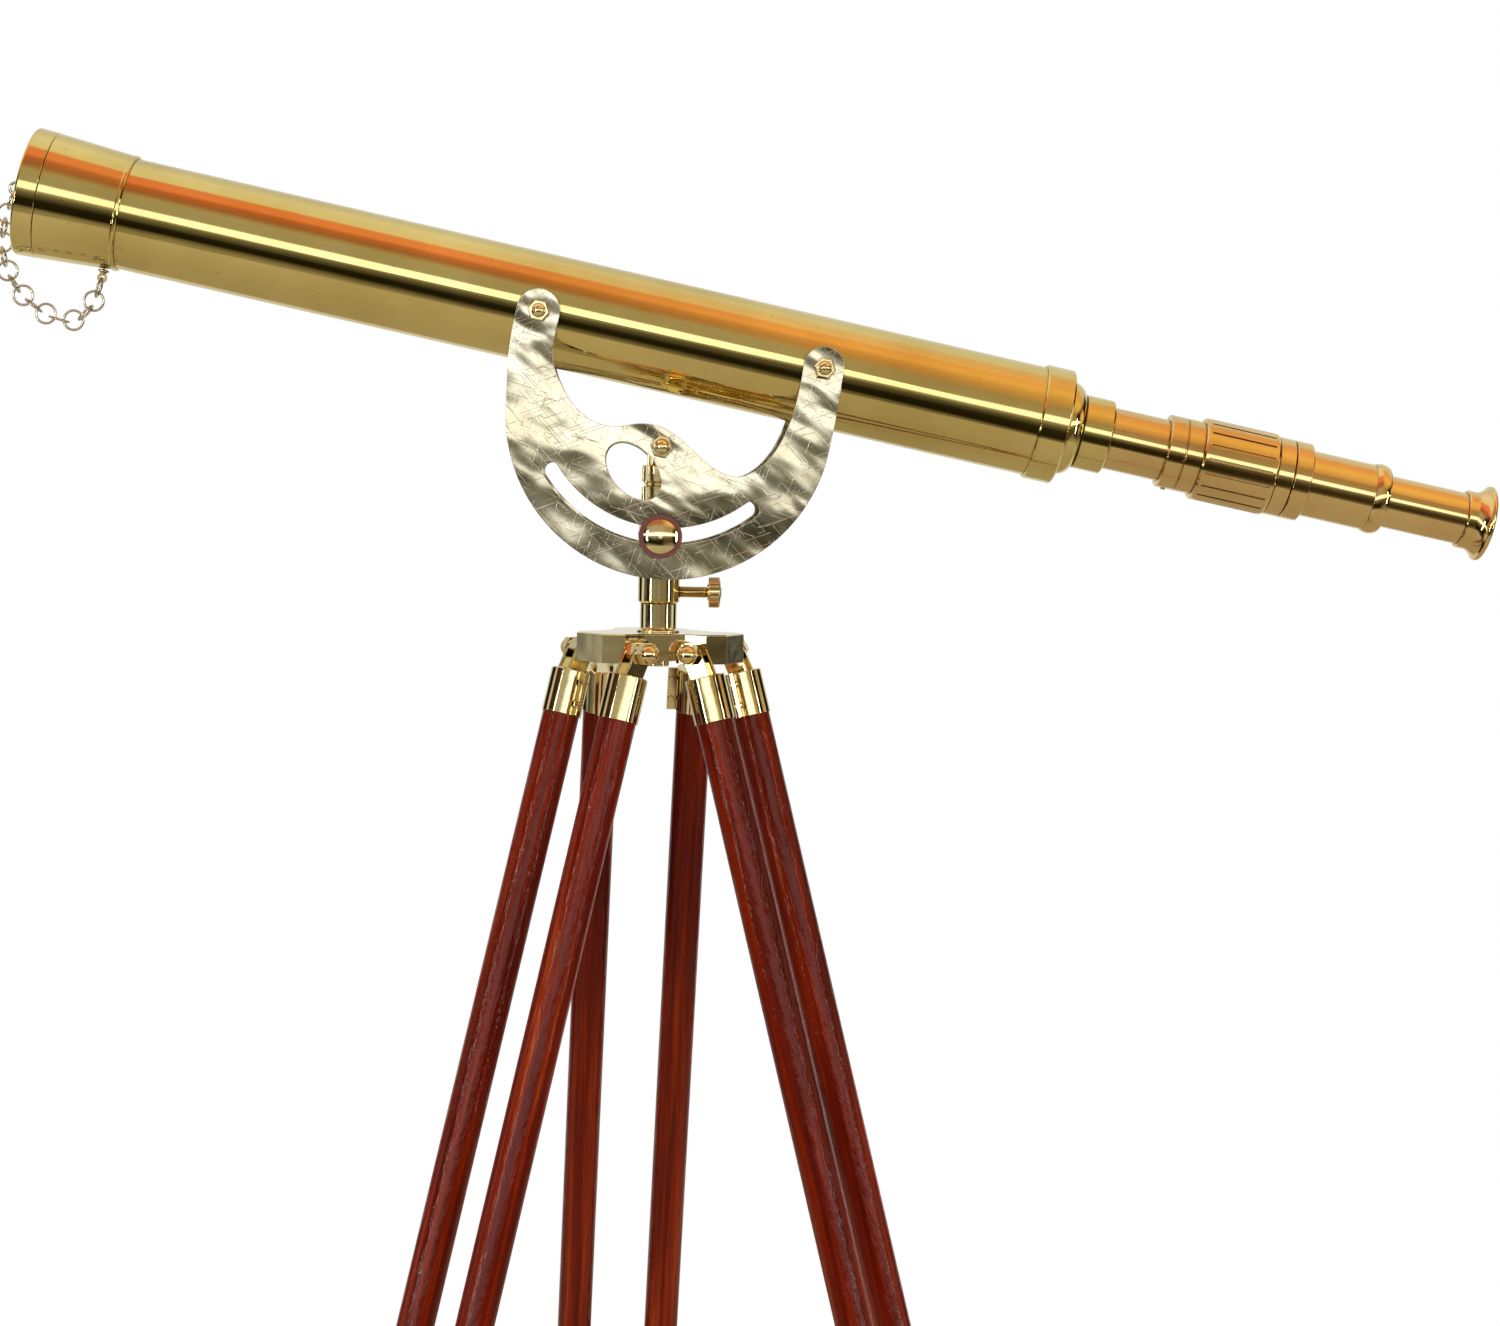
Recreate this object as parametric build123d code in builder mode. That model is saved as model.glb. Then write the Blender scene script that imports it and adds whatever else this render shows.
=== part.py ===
from build123d import *
import math
import os

# A brass refracting telescope with pull-out eyepiece tubes, carried between two crescent
# side plates on a turning post, on a tripod with mahogany legs.
# Build frame: origin on the post axis at floor level, objective toward -X, eyepiece toward
# +X, +Z up. The finished assembly is shifted so that its box stands centred on the origin.

# ---------------------------------------------------------------- pose of the whole
ELEVATION = 11.6            # the objective points up by this angle, degrees
LEG_TILT = 15.2             # legs from the vertical, degrees
LEG_LENGTH = 1200.0         # pivot bolt to floor along the leg
LEG_AZIMUTHS = (96.0, 216.0, 336.0)

# ---------------------------------------------------------------- tripod head and post
LEG_BOLT_RADIUS = 41.7      # leg bolts from the post axis
LEG_BOLT_DROP = 12.5        # leg bolts below the head's top
LOBE_HALF_WIDTH = 26.2
LOBE_NOSE = 58.0
LOBE_BEVEL = 11.0
LOBE_THICK = 20.0
WEB_APOTHEM = 38.5
WEB_THICK = 12.0
POST_R = 12.8
SPIGOT_R = 10.0
SLEEVE_R = 14.5
NECK_R = 13.0
STUB_R = 9.5
SLEEVE_FOOT = 20.0          # heights above the head's top
SPIGOT_TOP = 58.0
THUMB_HEIGHT = 27.7
CLAMP_HEIGHT = 66.5
SLEEVE_TOP = 80.0
GROOVE_HEIGHT = 102.0
NECK_TOP = 115.0
PIVOT_HEIGHT = 127.3
STUB_TOP = 137.5
BOLT_R = 4.0                # pivot and leg bolts
CLAMP_R = 3.0               # clamp bolt and horn studs
RUN = 0.1                   # radial clearance of a running fit
SEAT = 0.05                 # radial clearance of a fixed seat

# ---------------------------------------------------------------- optical tube
AXIS_RISE = 75.0            # optical axis above the pivot
BARREL_R = 38.1
BARREL_BORE = 36.5
BARREL_FRONT = -422.0       # stations along the axis, from the pivot's foot
BARREL_REAR = 266.4
CELL_REAR = -389.5
CELL_SHOULDER = -444.0
CAP_FRONT = -459.0
CAP_R = 43.75
CAP_BORE = 41.6
LENS_R = 38.05
RING_END = 268.6
COLLAR_FRONT = 280.0
COLLAR_REAR = 300.6
COLLAR_R = 25.7
DRAW_R = 21.55
DRAW_BORE = 20.05
GRIP_R = 28.7
GRIP_FRONT = 365.0
GRIP_REAR = 417.6
SLEEVE2_R = 23.05
SLEEVE2_REAR = 488.5
BEAD_REAR = 499.2
EYE_TUBE_R = 18.2
EYE_TUBE_BORE = 16.8
EYE_TUBE_REAR = 558.5
CUP_FRONT = 556.5
CUP_REAR = 574.5

# ---------------------------------------------------------------- side plates
PLATE_IN = 38.2             # inner face from the middle plane
PLATE_THICK = 4.0
PLATE_OUT = PLATE_IN + PLATE_THICK
LEFT_HORN = (-100.9, -4.1)   # bolts of the two horns: station, height from the axis
RIGHT_HORN = (95.9, 0.9)
HORNS = (LEFT_HORN, RIGHT_HORN)
SLOT_CENTRE = (-2.4, 33.8)
SLOT_R = 94.5
SLOT_WIDTH = 11.5

# ---------------------------------------------------------------- legs
ROD_OFFSET = 33.4           # rod axes each side of the leg's middle
ROD_LEAD = 3.4              # rod axes outward of the bolt
ROD_R = 12.7
FERRULE_R = 13.8
FERRULE_TOP = -17.0         # below the bolt, along the leg
FERRULE_FOOT = -48.0
ROD_FOOT = -620.0
TAB_IN = 26.5               # tabs of the ferrules, from the leg's middle
TAB_OUT = 38.3
TAB_THICK = 2.5
BRACKET_TOP = -578.0
BRACKET_FOOT = -623.0
CLAMP_DROP = -598.0
LOWER_ROD_R = 12.6
LOWER_ROD_TOP = -560.0
LOWER_ROD_FOOT = -1150.0
FOOT_TOP = -1128.0

# ---------------------------------------------------------------- chain
RING_R = 6.6                # mean radius of one ring
WIRE_R = 0.9
RING_COUNT = 15

LEAN = math.radians(LEG_TILT)
HEAD_TOP = LEG_LENGTH * math.cos(LEAN) - ROD_LEAD * math.sin(LEAN) + LEG_BOLT_DROP
PIVOT_Z = HEAD_TOP + PIVOT_HEIGHT

os.makedirs("parts", exist_ok=True)


# ---------------------------------------------------------------- helpers
def turned_x(outline):
    """Turn a closed outline of (station, radius) points about X."""
    with BuildPart() as piece:
        with BuildSketch(Plane.XZ):
            with BuildLine():
                Polyline(*outline, close=True)
            make_face()
        revolve(axis=Axis.X)
    return piece


def turned_z(outline):
    """Turn a closed outline of (radius, height) points about Z."""
    with BuildPart() as piece:
        with BuildSketch(Plane.XZ):
            with BuildLine():
                Polyline(*outline, close=True)
            make_face()
        revolve(axis=Axis.Z)
    return piece


def dome(rim, radius, bow):
    """Three (along, radius) points of a spherical face from its rim to its apex."""
    ball = (radius**2 + bow**2) / (2 * bow)
    centre = rim + bow - ball
    half = math.asin(radius / abs(ball)) / 2
    middle = (centre + ball * math.cos(half), abs(ball) * math.sin(half))
    return (rim, radius), middle, (rim + bow, 0)


def lens(front, rear, front_bow, rear_bow, radius):
    """A glass disc between two rim stations; a bow is how far a face bulges outward."""
    with BuildPart() as glass:
        with BuildSketch(Plane.XZ):
            with BuildLine():
                ThreePointArc(*dome(front, radius, -front_bow))
                Line((front - front_bow, 0), (rear + rear_bow, 0))
                ThreePointArc(*dome(rear, radius, rear_bow))
                Line((rear, radius), (front, radius))
            make_face()
        revolve(axis=Axis.X)
    return glass


def acorn_nut(bore, flats, hex_height, dome_r):
    """A domed nut standing on Z=0 with a blind bore."""
    rim = hex_height + 0.8
    arc = [(radius, height) for height, radius in dome(rim, dome_r, dome_r * 0.8)]
    with BuildPart() as nut:
        with BuildSketch():
            RegularPolygon(flats / 2, 6, major_radius=False)
        extrude(amount=hex_height)
        chamfer(nut.faces().sort_by(Axis.Z)[-1].edges(), 0.7)
        with BuildSketch(Plane.XZ):
            with BuildLine():
                Polyline(arc[2], (0, hex_height - 1), (dome_r, hex_height - 1), arc[0])
                ThreePointArc(*arc)
            make_face()
        revolve(axis=Axis.Z)
        with BuildSketch():
            Circle(bore)
        extrude(amount=hex_height + 0.6, mode=Mode.SUBTRACT)
    return nut


def knurled_screw(tip, head_start, head_end, head_r, flutes):
    """A threaded thumb screw along +X: a plain tip, a ridged thread and a knurled head."""
    pitch = 1.25
    ridge = BOLT_R
    root = BOLT_R - 0.65
    outline = [(tip, 0), (tip, 2.6), (tip + 0.8, root)]
    turns = int((head_start - tip - 3.0) / pitch)
    for turn in range(turns):
        start = tip + 1.2 + turn * pitch
        outline += [(start, root), (start + pitch * 0.45, ridge), (start + pitch * 0.6, ridge)]
    outline += [(head_start - 1.0, root), (head_start - 1.0, 5.2), (head_start, 6.0)]
    outline += [(head_start, head_r - 0.7), (head_start + 0.7, head_r)]
    outline += [(head_end - 0.9, head_r), (head_end, head_r - 1.1), (head_end, 5.0)]
    outline += [(head_end + 0.8, 3.6), (head_end + 0.8, 0)]
    blank = turned_x(outline)
    with BuildPart() as screw:
        add(blank.part)
        with Locations(Plane.YZ.offset((head_start + head_end) / 2)):
            with PolarLocations(head_r + 0.25, flutes):
                Box(1.1, 1.1, head_end - head_start + 0.4, rotation=(0, 0, 45),
                    mode=Mode.SUBTRACT)
    return screw


# ---------------------------------------------------------------- places
post_place = Location((0, 0, HEAD_TOP))
tilt_place = Location((0, 0, PIVOT_Z), (0, ELEVATION, 0))
optic_place = tilt_place * Location((0, 0, AXIS_RISE))
leg_places = [
    Location((0, 0, HEAD_TOP - LEG_BOLT_DROP), (0, 0, azimuth))
    * Location((LEG_BOLT_RADIUS, 0, 0), (0, -LEG_TILT, 0)) * Location((ROD_LEAD, 0, 0))
    for azimuth in LEG_AZIMUTHS
]

pieces = []


def stand(label, piece, place):
    """Note where a finished piece belongs in the assembly."""
    pieces.append((label, piece, place))


# ================================================================ optical tube
with BuildPart() as barrel_tube:
    with BuildSketch(Plane.YZ.offset(BARREL_FRONT)):
        Circle(BARREL_R)
        Circle(BARREL_BORE, mode=Mode.SUBTRACT)
    extrude(amount=BARREL_REAR - BARREL_FRONT)
    for station, height in HORNS:
        with Locations((station, 0, height)):
            Cylinder(CLAMP_R + SEAT, 2 * BARREL_R + 2, rotation=(90, 0, 0), mode=Mode.SUBTRACT)
stand("barrel_tube", barrel_tube, optic_place)

objective_cell = turned_x([
    (CELL_REAR, BARREL_R + SEAT), (CELL_REAR, 39.3), (CELL_REAR - 0.8, 39.9),
    (CELL_REAR - 2.4, 39.9), (CELL_REAR - 3.2, 39.5), (CELL_SHOULDER, 43.0),
    (CELL_SHOULDER, CAP_BORE - RUN), (-454.5, CAP_BORE - RUN), (-455.0, CAP_BORE - 0.6),
    (-455.0, LENS_R + RUN), (-430.0, LENS_R + RUN), (-430.0, 35.5),
    (BARREL_FRONT - 0.2, 35.5), (BARREL_FRONT - 0.2, BARREL_R + SEAT),
])
stand("objective_cell", objective_cell, optic_place)

flint_lens = lens(-436.5, -430.3, -3.0, 0.25, LENS_R)
stand("flint_lens", flint_lens, optic_place)
crown_lens = lens(-441.2, -436.6, 3.2, 2.9, LENS_R)
stand("crown_lens", crown_lens, optic_place)

objective_retaining_ring = turned_x([
    (-441.9, 34.5), (-441.4, LENS_R), (-446.0, LENS_R), (-446.0, 35.2), (-445.3, 34.5),
])
stand("objective_retaining_ring", objective_retaining_ring, optic_place)

with BuildPart() as barrel_baffles:
    for station, aperture in ((-175.0, 31.0), (30.0, 26.0)):
        with BuildSketch(Plane.XZ):
            with BuildLine():
                Polyline(
                    (station - 6, BARREL_BORE - SEAT), (station + 6, BARREL_BORE - SEAT),
                    (station + 6, 35.3), (station + 0.6, 35.3), (station + 0.6, aperture),
                    (station - 0.6, aperture), (station - 0.6, 35.3), (station - 6, 35.3),
                    close=True)
            make_face()
        revolve(axis=Axis.X)
stand("barrel_baffles", barrel_baffles, optic_place)

with BuildPart() as rear_end_ring:
    with BuildSketch(Plane.XZ):
        with BuildLine():
            Polyline((266.6, BARREL_R + SEAT), (248.4, BARREL_R + SEAT), (248.4, 39.2),
                     (249.4, 40.0), (267.4, 40.0), (RING_END, 38.8), (RING_END, 32.5))
            RadiusArc((RING_END, 32.5), (COLLAR_FRONT, 24.4), 11.0)
            Polyline((COLLAR_FRONT, 24.4), (COLLAR_FRONT, 23.15), (266.6, 23.15),
                     (266.6, BARREL_R + SEAT))
        make_face()
    revolve(axis=Axis.X)
stand("rear_end_ring", rear_end_ring, optic_place)

draw_collar = turned_x([
    (266.6, DRAW_R + RUN), (266.6, 23.1), (COLLAR_FRONT + 0.1, 23.1),
    (COLLAR_FRONT + 0.1, 25.0), (COLLAR_FRONT + 0.8, COLLAR_R), (COLLAR_REAR - 1.1, COLLAR_R),
    (COLLAR_REAR, 24.6), (COLLAR_REAR, DRAW_R + RUN),
])
stand("draw_collar", draw_collar, optic_place)

# ---------------------------------------------------------------- cap and chain
lens_cap = turned_x([
    (CAP_FRONT, 0), (CAP_FRONT, 42.4), (CAP_FRONT + 0.5, 43.3), (CAP_FRONT + 1.4, CAP_R),
    (CELL_SHOULDER - 1.0, 43.2), (CELL_SHOULDER - 0.3, 42.5), (CELL_SHOULDER - 0.3, CAP_BORE),
    (-456.4, CAP_BORE), (-456.4, 0),
])
stand("lens_cap", lens_cap, optic_place)

EYE_CENTRE = CAP_FRONT - 8.5
EYE_R = 4.0
EYE_WIRE = 1.1
with BuildPart() as cap_eye:
    with BuildSketch(Plane.XZ):
        with BuildLine():
            Polyline((CAP_FRONT - 0.02, 0), (CAP_FRONT - 0.02, 5.0), (CAP_FRONT - 0.8, 4.6),
                     (CAP_FRONT - 1.6, 2.0), (EYE_CENTRE + EYE_R, 1.5),
                     (EYE_CENTRE + EYE_R, 0), close=True)
        make_face()
    revolve(axis=Axis.X)
    with Locations((EYE_CENTRE, 0, 0)):
        Torus(EYE_R, EYE_WIRE, rotation=(90, 0, 0))
stand("cap_eye", cap_eye, optic_place)

STUD_STATION = -398.0
STUD_EYE_R = 46.3
with BuildPart() as chain_stud:
    with BuildSketch(Plane.XZ):
        with BuildLine():
            Polyline((0, -39.9), (2.2, -40.6), (3.6, -40.9), (3.6, -42.0), (2.1, -42.8),
                     (2.1, -44.0), (0, -44.0), close=True)
        make_face()
    revolve(axis=Axis.Z)
    with Locations((0, 0, -STUD_EYE_R)):
        Cylinder(3.3, 2.6, rotation=(90, 0, 0))
        Cylinder(1.7, 10, rotation=(90, 0, 0), mode=Mode.SUBTRACT)
stand("chain_stud", chain_stud, optic_place * Location((STUD_STATION, 0, 0)))


def world_point(station, rise):
    """A point of the tilted tube's frame in the upright frame, height from the pivot."""
    turn = math.radians(ELEVATION)
    return (station * math.cos(turn) + rise * math.sin(turn),
            -station * math.sin(turn) + rise * math.cos(turn))


eye_x, eye_z = world_point(EYE_CENTRE, AXIS_RISE)
stud_x, stud_z = world_point(STUD_STATION, AXIS_RISE - STUD_EYE_R)
# The first ring hangs in the cap's eye and the last one in the stud's; both lie edge-on.
first_way = (-0.36, -0.933)
last_way = (0.3, 0.954)
first_top = (eye_x, eye_z - EYE_R + EYE_WIRE + WIRE_R + 0.25)
first_ring = (first_top[0] + RING_R * first_way[0], first_top[1] + RING_R * first_way[1])
last_ring = (stud_x - RING_R * last_way[0], stud_z - 0.45 - RING_R * last_way[1])
with BuildLine(Plane.XZ) as chain_path:
    Spline(first_ring, (-451.4, 134.8), (-449.4, 115.5), (-440.0, 98.0), (-418.0, 81.0),
           last_ring, tangents=(first_way, last_way))
chain_curve = chain_path.edge()
chain_step = chain_curve.length / (RING_COUNT - 1)
print(f"chain path {chain_curve.length:.1f} mm, ring spacing {chain_step:.2f} mm")

# The rings are linked but loose, so they stay separate solids of one group.
ring_places = []
for ring in range(RING_COUNT):
    centre = chain_curve.position_at(ring * chain_step, position_mode=PositionMode.LENGTH)
    along = chain_curve.tangent_at(ring * chain_step, position_mode=PositionMode.LENGTH)
    across = Vector(0, 1, 0)
    normal = across if ring % 2 else along.cross(across)
    ring_places.append(Plane(origin=centre, x_dir=along, z_dir=normal).location)
with BuildPart() as chain_ring:
    Torus(RING_R, WIRE_R)
cap_chain = Compound(children=[chain_ring.part.solid().moved(ring) for ring in ring_places])
stand("cap_chain", cap_chain, Location((0, 0, PIVOT_Z)))

# ---------------------------------------------------------------- draw tube and grip
draw_tube = turned_x([
    (194, DRAW_BORE), (194, 24.0), (198, 24.0), (198, DRAW_R), (352, DRAW_R),
    (352, DRAW_BORE),
])
stand("draw_tube", draw_tube, optic_place)

erector_cell = turned_x([
    (215, 17.1), (215, 20.0), (275, 20.0), (275, 17.1), (269, 17.1), (269, 15.4),
    (221, 15.4), (221, 17.1),
])
stand("erector_cell", erector_cell, optic_place)

ERECTOR_R = 17.0
with BuildPart() as erector_lenses:
    add(lens(215.4, 220.9, 1.6, 0.5, ERECTOR_R).part)
    add(lens(269.1, 274.6, 0.5, 1.6, ERECTOR_R).part)
stand("erector_lenses", erector_lenses, optic_place)

FRONT_RING_R = 25.5
grip_front_ring = turned_x([
    (340.6, DRAW_R + SEAT), (340.6, 24.7), (341.4, FRONT_RING_R), (351.9, FRONT_RING_R),
    (352.2, 24.7), (353.1, 24.7), (353.4, FRONT_RING_R), (364.9, FRONT_RING_R),
    (364.9, 23.8), (370.5, 23.8), (370.5, 20.5), (352.2, 20.5), (352.2, DRAW_R + SEAT),
])
with BuildPart() as grip_front_ring_drilled:
    add(grip_front_ring.part)
    with Locations((346.8, 0, -FRONT_RING_R)):
        Cylinder(1.6, 7.8, mode=Mode.SUBTRACT)
stand("grip_front_ring", grip_front_ring_drilled, optic_place)

with BuildPart() as grip_set_screw:
    with Locations((346.8, 0, -24.2)):
        Cylinder(1.5, 4.6)
    with Locations((346.8, 0, -26.5)):
        Box(3.2, 0.7, 1.6, mode=Mode.SUBTRACT)
stand("grip_set_screw", grip_set_screw, optic_place)

PANELS = 18
with BuildPart() as fluted_grip:
    with BuildSketch(Plane.XZ):
        with BuildLine():
            Polyline((GRIP_FRONT, 23.85), (GRIP_FRONT, 27.6), (GRIP_FRONT + 1.2, GRIP_R),
                     (GRIP_REAR - 1.2, GRIP_R), (GRIP_REAR, 27.6),
                     (GRIP_REAR, SLEEVE2_R + SEAT), (370.7, SLEEVE2_R + SEAT),
                     (370.7, 23.85), close=True)
        make_face()
    revolve(axis=Axis.X)
    with Locations(Plane.YZ.offset((GRIP_FRONT + GRIP_REAR) / 2)):
        with PolarLocations(GRIP_R, PANELS):
            Box(1.6, 1.7, GRIP_REAR - GRIP_FRONT - 7.0, mode=Mode.SUBTRACT)
stand("fluted_grip", fluted_grip, optic_place)

REAR_RING_R = 27.35
for label, start, end in (("grip_rear_ring", 417.7, 429.4), ("sleeve_lock_ring", 429.9, 442.0)):
    ring = turned_x([
        (start, SLEEVE2_R + SEAT), (start, 26.7), (start + 0.6, REAR_RING_R),
        (end - 0.6, REAR_RING_R), (end, 26.7), (end, SLEEVE2_R + SEAT),
    ])
    stand(label, ring, optic_place)

eyepiece_sleeve = turned_x([
    (372, 21.0), (372, SLEEVE2_R), (SLEEVE2_REAR, SLEEVE2_R), (SLEEVE2_REAR, 21.0),
    (412, 21.0), (412, EYE_TUBE_R + RUN), (398, EYE_TUBE_R + RUN), (398, 21.0),
])
stand("eyepiece_sleeve", eyepiece_sleeve, optic_place)

with BuildPart() as sleeve_bead:
    with BuildSketch(Plane.XZ):
        with BuildLine():
            Polyline((488.6, 23.3), (488.6, 20.95), (476, 20.95), (476, EYE_TUBE_R + RUN),
                     (BEAD_REAR, EYE_TUBE_R + RUN), (BEAD_REAR, 22.9))
            ThreePointArc((BEAD_REAR, 22.9), (493.9, 24.6), (488.6, 23.3))
        make_face()
    revolve(axis=Axis.X)
stand("sleeve_bead", sleeve_bead, optic_place)

# ---------------------------------------------------------------- eyepiece tube
eyepiece_draw_tube = turned_x([
    (383, EYE_TUBE_BORE), (383, 19.6), (386, 19.6), (386, EYE_TUBE_R),
    (EYE_TUBE_REAR, EYE_TUBE_R), (EYE_TUBE_REAR, EYE_TUBE_BORE),
])
stand("eyepiece_draw_tube", eyepiece_draw_tube, optic_place)

with BuildPart() as eyecup:
    with BuildSketch(Plane.XZ):
        with BuildLine():
            Polyline((CUP_FRONT, EYE_TUBE_R + SEAT), (CUP_FRONT, 19.6), (557.2, 20.3),
                     (562.5, 20.3))
            Spline((562.5, 20.3), (567.3, 22.0), (571.0, 25.9),
                   tangents=((1, 0), (0.5, 1)))
            ThreePointArc((571.0, 25.9), (573.2, 26.3), (CUP_REAR, 24.6))
            Spline((CUP_REAR, 24.6), (568.8, 15.5), (565.8, 6.5),
                   tangents=((-0.35, -1), (-0.5, -1)))
            Polyline((565.8, 6.5), (558.7, 6.5), (558.7, EYE_TUBE_R + SEAT),
                     (CUP_FRONT, EYE_TUBE_R + SEAT))
        make_face()
    revolve(axis=Axis.X)
stand("eyecup", eyecup, optic_place)

eye_lens = lens(551.0, 558.4, 2.0, 0.1, EYE_TUBE_BORE - SEAT)
stand("eye_lens", eye_lens, optic_place)
field_lens = lens(498.0, 503.5, 2.4, 0.3, EYE_TUBE_BORE - SEAT)
stand("field_lens", field_lens, optic_place)


# ================================================================ side plates
def crescent(inner_face, label):
    """One horned side plate, from its inner face outward along +Y."""
    with BuildPart() as plate:
        with BuildSketch(Plane.XZ.offset(-inner_face)):
            with BuildLine():
                Spline((-116.0, 70.5), (-114.7, 38.5), (-109.0, 4.0),
                       tangents=((0, -1), (0.16, -1)))
                ThreePointArc((-109.0, 4.0), (0.6, -89.6), (111.3, 24.0))
                Spline((111.3, 24.0), (110.4, 56.0), (109.3, 76.0),
                       tangents=((0, 1), (-0.03, 1)))
                ThreePointArc((109.3, 76.0), (95.4, 90.6), (81.6, 76.0))
                Spline((81.6, 76.0), (82.4, 55.4), (77.6, 19.0), (68.4, 1.4), (55.1, -8.4),
                       (41.8, -8.0), (24.5, 0.1), (9.3, 8.8), (-5.0, 13.1), (-20.1, 11.4),
                       (-32.2, 6.9), (-45.4, 6.0), (-62.5, 13.2), (-76.8, 27.6),
                       (-83.9, 39.3), (-86.7, 56.2), (-86.6, 71.0))
                ThreePointArc((-86.6, 71.0), (-101.3, 85.8), (-116.0, 70.5))
            make_face()
            with Locations((-15.4, -20.2)):
                Ellipse(23.0, 15.0, rotation=-36.0, mode=Mode.SUBTRACT)
            with BuildLine(mode=Mode.PRIVATE) as slot_line:
                CenterArc(SLOT_CENTRE, SLOT_R, 224.0, 94.7)
            SlotArc(slot_line.edge(), SLOT_WIDTH, mode=Mode.SUBTRACT)
            with Locations((0, 0)):
                Circle(BOLT_R + SEAT, mode=Mode.SUBTRACT)
            for station, height in HORNS:
                with Locations((station, AXIS_RISE + height)):
                    Circle(CLAMP_R + SEAT, mode=Mode.SUBTRACT)
        extrude(amount=-PLATE_THICK)
    stand(label, plate, tilt_place)


crescent(-PLATE_OUT, "front_side_plate")
crescent(PLATE_IN, "rear_side_plate")

NUT_FLATS = 13.0
NUT_HEIGHT = 5.2
NUT_DOME = 4.7
stud_nut = acorn_nut(CLAMP_R + SEAT, NUT_FLATS, NUT_HEIGHT, NUT_DOME)
pivot_nut = acorn_nut(BOLT_R + SEAT, NUT_FLATS + 0.6, NUT_HEIGHT, NUT_DOME + 0.5)
nut_face = PLATE_OUT + 0.05
with BuildPart() as acorn_nuts:
    for station, height in HORNS:
        for side in (1, -1):
            with Locations(Location((station, side * nut_face, AXIS_RISE + height),
                                    (-90 * side, 0, 0))):
                add(stud_nut.part)
    for side in (1, -1):
        with Locations(Location((0, side * nut_face, 0), (-90 * side, 0, 0))):
            add(pivot_nut.part)
stand("acorn_nuts", acorn_nuts, tilt_place)

with BuildPart() as horn_studs:
    for station, height in HORNS:
        for side in (1, -1):
            with Locations(Location((station, side * 32.6, AXIS_RISE + height),
                                    (-90 * side, 0, 0))):
                Cylinder(5.0, 2.5, align=(Align.CENTER, Align.CENTER, Align.MIN))
                Cylinder(CLAMP_R, 14.4, align=(Align.CENTER, Align.CENTER, Align.MIN))
stand("horn_studs", horn_studs, tilt_place)

with BuildPart() as pivot_bolt:
    Cylinder(BOLT_R, 2 * (nut_face + NUT_HEIGHT), rotation=(90, 0, 0))
stand("pivot_bolt", pivot_bolt, tilt_place)

# ================================================================ yoke
yoke_blank = turned_z([
    (SPIGOT_R + RUN, SLEEVE_FOOT), (SLEEVE_R - 1.0, SLEEVE_FOOT), (SLEEVE_R, SLEEVE_FOOT + 1.2),
    (SLEEVE_R, SLEEVE_TOP - 0.8), (SLEEVE_R - 0.8, SLEEVE_TOP), (NECK_R, SLEEVE_TOP),
    (NECK_R, GROOVE_HEIGHT - 2.2), (NECK_R - 1.8, GROOVE_HEIGHT - 0.8),
    (NECK_R - 1.8, GROOVE_HEIGHT + 0.8), (NECK_R, GROOVE_HEIGHT + 2.2),
    (NECK_R, NECK_TOP - 1.0), (NECK_R - 1.0, NECK_TOP), (STUB_R, NECK_TOP),
    (STUB_R, STUB_TOP - 1.5), (STUB_R - 1.5, STUB_TOP), (0, STUB_TOP),
    (0, SPIGOT_TOP + 0.4), (SPIGOT_R + RUN, SPIGOT_TOP + 0.4),
])
with BuildPart() as yoke_post:
    add(yoke_blank.part)
    with Locations((0, 0, PIVOT_HEIGHT)):
        Cylinder(BOLT_R + RUN, 40, rotation=(90, 0, 0), mode=Mode.SUBTRACT)
    with Locations((0, 0, CLAMP_HEIGHT)):
        Cylinder(CLAMP_R + SEAT, 40, rotation=(90, 0, 0), mode=Mode.SUBTRACT)
    with Locations((SLEEVE_R, 0, THUMB_HEIGHT)):
        Cylinder(BOLT_R + RUN, 2 * (SLEEVE_R - SPIGOT_R + 2), rotation=(0, 90, 0),
                 mode=Mode.SUBTRACT)
stand("yoke_post", yoke_post, post_place)

with BuildPart() as plate_spacers:
    for height, radius, bore, start in (
            (PIVOT_HEIGHT, 8.0, BOLT_R + RUN, STUB_R + 0.3),
            (CLAMP_HEIGHT, 7.0, CLAMP_R + SEAT, SLEEVE_R + 0.1)):
        length = PLATE_IN - 0.3 - start
        for side in (1, -1):
            with Locations(Location((0, side * start, height), (-90 * side, 0, 0))):
                Cylinder(radius, length, align=(Align.CENTER, Align.CENTER, Align.MIN))
                Cylinder(bore, length, align=(Align.CENTER, Align.CENTER, Align.MIN),
                         mode=Mode.SUBTRACT)
stand("plate_spacers", plate_spacers, post_place)

WASHER_IN = PLATE_OUT + 0.2
WASHER_OUT = WASHER_IN + 2.0
with BuildPart() as fibre_washers:
    for side in (1, -1):
        with Locations(Location((0, side * WASHER_IN, CLAMP_HEIGHT), (-90 * side, 0, 0))):
            Cylinder(14.75, 2.0, align=(Align.CENTER, Align.CENTER, Align.MIN))
            Cylinder(CLAMP_R + SEAT, 2.0, align=(Align.CENTER, Align.CENTER, Align.MIN),
                     mode=Mode.SUBTRACT)
stand("fibre_washers", fibre_washers, post_place)

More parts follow.
